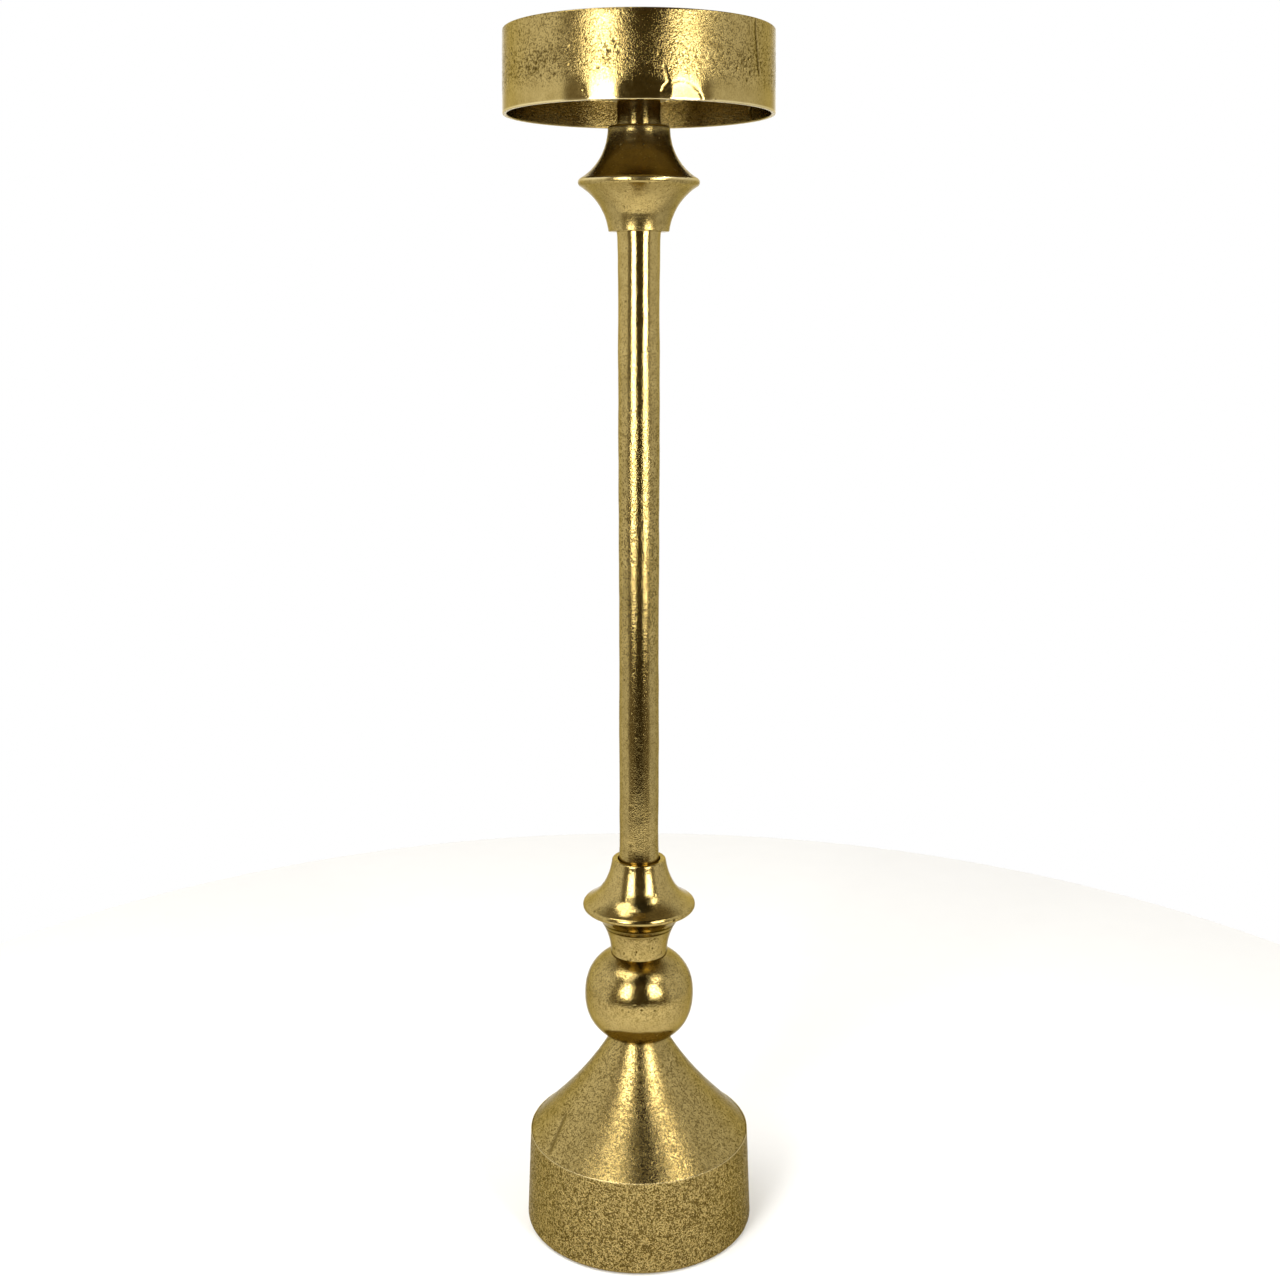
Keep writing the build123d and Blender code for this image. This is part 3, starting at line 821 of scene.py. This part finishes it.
# Single pits of the skirt: azimuth, height, radius and depth
SKIRT_PITS = [
    (-24.5, 16, 1.7, 0.9), (-26, 20, 1.7, 0.9), (-9, 30, 1.7, 0.9), (-8.6, 23, 1.7, 0.9), (-9, 16, 1.7, 0.9),
    (10, 50, 1.7, 0.9),
]


def skirt():
    """The as-cast skirt of the base, wrinkled and pitted."""
    skin = turned("base_skirt")
    h, outer = skin.h, skin.out_r > 0.3
    tall = top_of("base_skirt") - skin.foot
    clear_of_edges = between(h, 0.3, 2.5) * (1 - between(h, tall - 1.2, tall))
    patchy = skin.patches(18.0, seed=101)
    swirled = skin.points + skin.lumps(1.6, 6, seed=102)[:, None]
    wrinkles = 0.13 * layers(swirled, (2.2, 2.2, 1.8), seed=103, count=3, gain=0.7)
    wave = skin.lumps(0.06, 30, seed=104)
    holes = scattered(skin, (0.15 + patchy**3) * clear_of_edges, 640, (0.5, 1.2), (0.3, 0.55))
    holes = np.minimum(holes, single_pits(skin, SKIRT_PITS))
    skin.mark("grain", (0.8 + 0.2 * patchy) * np.maximum(clear_of_edges, 0.25))
    skin.mark("grime_and_shade", dirt_and_shade_in(holes, 0.5, 0.8) + 0.5 * between(-wrinkles, 0.02, 0.10) * clear_of_edges)
    # The top edge is lightened to pale gold as a painted highlight
    skin.mark("worn_and_highlight", 0.5 * between(h, tall - 0.9, tall - 0.2))
    finish_piece(skin, "base_skirt", (wrinkles + wave) * outer * clear_of_edges + holes * outer)


# ---------------------------------------------------------------- the tie rod


THREAD_PITCH = 1.25
THREAD_DEPTH = 0.62
THREAD_FLANKS = (0.15, 0.85)
THREADED_LENGTH = 45.0
THREAD_RUNOUT = 1.0
POINTS_A_PITCH = 8
ROD_R = 3.99
SHANK_R = 3.6
ROD_CHAMFER = 0.8
ROD_COLUMNS = 32
ROD_TIP_R = 0.01


def rod(steel):
    """The tie rod, with its rolled threads cut as a helix."""
    foot, top = foot_of("tie_rod"), top_of("tie_rod")
    step = THREAD_PITCH / POINTS_A_PITCH
    low = np.arange(foot, foot + THREADED_LENGTH, step)
    high = np.arange(top - THREADED_LENGTH, top - step / 2, step)
    shank = [foot + THREADED_LENGTH + THREAD_RUNOUT, top - THREADED_LENGTH - THREAD_RUNOUT]
    z = np.concatenate([[foot], low, shank, high, [top, top]])
    end = np.minimum(z - foot, top - z)
    r = np.where(end > THREADED_LENGTH, SHANK_R, np.minimum(ROD_R, ROD_R - ROD_CHAMFER + end))
    r[0] = r[-1] = ROD_TIP_R
    skin = Skin(np.stack([r, z], axis=1), ROD_COLUMNS, closed=False)
    phase = (skin.z / THREAD_PITCH - skin.angle / (2 * pi)) % 1
    threaded = (np.minimum(skin.z - foot, top - skin.z) < THREADED_LENGTH) & (skin.r > ROD_TIP_R)
    groove = 1 - np.abs(2 * phase - 1)
    skin.out_r[:], skin.out_z[:] = 1, 0
    finish_piece(skin, "tie_rod", -THREAD_DEPTH * between(groove, *THREAD_FLANKS) * threaded, steel)


def fasteners_and_pads(steel):
    """Gives the CAD nodes that stay as they are their materials."""
    pad = rubber()
    for name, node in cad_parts.items():
        if not node.hide_render:
            node.data.materials.clear()
            node.data.materials.append(pad if name == "floor_pads" else steel)


# ---------------------------------------------------------------- studio and camera


def floor():
    """A pale round floor with a fine paper texture."""
    angle = np.linspace(0, 2 * pi, FLOOR_SIDES, endpoint=False)
    corners = [(FLOOR_R * MM * np.cos(a), FLOOR_R * MM * np.sin(a), 0) for a in angle]
    data = bpy.data.meshes.new("floor")
    data.from_pydata(corners, [], [range(FLOOR_SIDES)])
    made = bpy.data.objects.new("floor", data)
    bpy.context.scene.collection.objects.link(made)
    tree = Tree("floor_paper")
    shaded = tuple(FLOOR_SHADE * c for c in FLOOR_COLOUR)
    tint = tree.ramp(tree.noise(40.0, 2.0, 0.5), [(0.3, shaded), (0.7, FLOOR_COLOUR)])
    tree.set(Base_Color=tint, Roughness=tree.spread(tree.noise(3.0), 0.3, 0.7, 0.85, 0.95))
    data.materials.append(tree.material)


# Upright soft boxes round the object: azimuth in degrees, foot, top and width in metres, and strength
LAMP_DISTANCE = 1.20
UPRIGHT_LAMPS = {
    "lamp_left": (-28.5, 0.37, 1.22, 0.43, 12.0),
    "lamp_left_upper": (-31.0, 1.22, 2.10, 0.50, 1.3),
    "lamp_right": (37.0, 0.35, 1.14, 0.42, 12.0),
    "lamp_right_upper": (55.0, 1.28, 2.00, 0.34, 8.0),
}
SKY_LAMP_PLACE = (-1.15, -0.65, 3.2)
SKY_LAMP_SIZE = (1.6, 1.6)
SKY_LAMP_STRENGTH = 5.5
SKY_LAMP_AIM = (0.0, 0.0, 0.5)

# Walls: the strength of their light at each azimuth, and its share at each elevation
WALL_SIDEWAYS = [
    (-165, 1.6), (-152, 1.35), (-66, 1.35), (-61, 0.40), (-42, 0.28), (-14, 0.09), (18, 0.09), (50, 0.28),
    (60, 0.40), (65, 1.12), (125, 1.05), (152, 1.3), (165, 1.6),
]
DIM_WALL = (1.0, 0.72, 0.22)
BRIGHT_WALL = (1.0, 1.0, 1.0)
BRIGHT_FROM = 0.7
WALL_UPWARDS = [(-90, 0.7), (-20, 0.8), (0, 1.0), (36, 1.0), (54, 0.30), (90, 0.18)]
ELEVATION_SPAN = 180.0
AZIMUTH_SPAN = 360.0


def area_lamp(name, place, aim, size, strength):
    """A soft box. Strength is the brightness of its face; it isn't seen directly."""
    data = bpy.data.lights.new(name, "AREA")
    data.shape, data.size, data.size_y = "RECTANGLE", *size
    data.energy = strength * pi * size[0] * size[1]
    made = bpy.data.objects.new(name, data)
    made.location = place
    made.rotation_euler = (Vector(place) - Vector(aim)).to_track_quat("Z", "Y").to_euler()
    made.visible_camera = False
    bpy.context.scene.collection.objects.link(made)


def lamps():
    """The upright soft boxes and the one above."""
    for name, (azimuth, foot, top, width, strength) in UPRIGHT_LAMPS.items():
        turn, middle = radians(azimuth), (foot + top) / 2
        place = (LAMP_DISTANCE * np.sin(turn), -LAMP_DISTANCE * np.cos(turn), middle)
        area_lamp(name, place, (0, 0, middle), (width, top - foot), strength)
    area_lamp("lamp_above", SKY_LAMP_PLACE, SKY_LAMP_AIM, SKY_LAMP_SIZE, SKY_LAMP_STRENGTH)


def studio():
    """The light of the studio, as it reaches the object from each direction."""
    world = bpy.data.worlds.new("studio")
    bpy.context.scene.world = world
    world.use_nodes = True
    nodes, links = world.node_tree.nodes, world.node_tree.links
    way = nodes.new("ShaderNodeSeparateXYZ")
    links.new(nodes.new("ShaderNodeTexCoord").outputs["Generated"], way.inputs["Vector"])

    def math(kind, a, b=0.0, c=0.0):
        """One step of arithmetic on sockets or plain numbers."""
        node = nodes.new("ShaderNodeMath")
        node.operation = kind
        for socket, value in zip(node.inputs, (a, b, c)):
            if isinstance(value, bpy.types.NodeSocket):
                links.new(value, socket)
            else:
                socket.default_value = value
        return node.outputs["Value"]

    def sweep(angle, span, stops):
        """The strength at an angle, given as a share of span from its middle."""
        node = nodes.new("ShaderNodeValToRGB")
        links.new(math("MULTIPLY_ADD", angle, 1 / radians(span), 0.5), node.inputs["Fac"])
        most = max(strength for _, strength in stops)
        greys = [(0.5 + degrees / span, (strength / most,) * 3) for degrees, strength in stops]
        fill_band(node.color_ramp, greys)
        return math("MULTIPLY", node.outputs["Color"], most)

    azimuth = math("ARCTAN2", way.outputs["X"], math("MULTIPLY", way.outputs["Y"], -1.0))
    elevation = math("ARCSINE", way.outputs["Z"])
    sideways = sweep(azimuth, AZIMUTH_SPAN, WALL_SIDEWAYS)
    light = math("MULTIPLY", sideways, sweep(elevation, ELEVATION_SPAN, WALL_UPWARDS))
    seen = nodes.new("ShaderNodeLightPath").outputs["Is Camera Ray"]
    plain = math("MULTIPLY_ADD", seen, math("SUBTRACT", BACKGROUND, light), light)
    links.new(plain, nodes["Background"].inputs["Strength"])
    shade = nodes.new("ShaderNodeValToRGB")
    links.new(plain, shade.inputs["Fac"])
    fill_band(shade.color_ramp, [(0.0, DIM_WALL), (BRIGHT_FROM, BRIGHT_WALL)])
    links.new(shade.outputs["Color"], nodes["Background"].inputs["Color"])


def camera():
    """A camera where the photograph was taken from."""
    data = bpy.data.cameras.new("camera")
    data.lens, data.sensor_width = LENS_MM, SENSOR_MM
    made = bpy.data.objects.new("camera", data)
    made.location = CAMERA_PLACE
    made.rotation_euler = (CAMERA_TILT, 0, 0)
    bpy.context.scene.collection.objects.link(made)
    bpy.context.scene.camera = made


camera()
floor()
studio()
lamps()
for make in (drum, seat, neck, collar_top, column, collar_low, ball, cone, skirt):
    make()
steel = zinc()
fasteners_and_pads(steel)
rod(steel)
bpy.context.scene.view_settings.view_transform = "Standard"

bpy.context.view_layer.update()
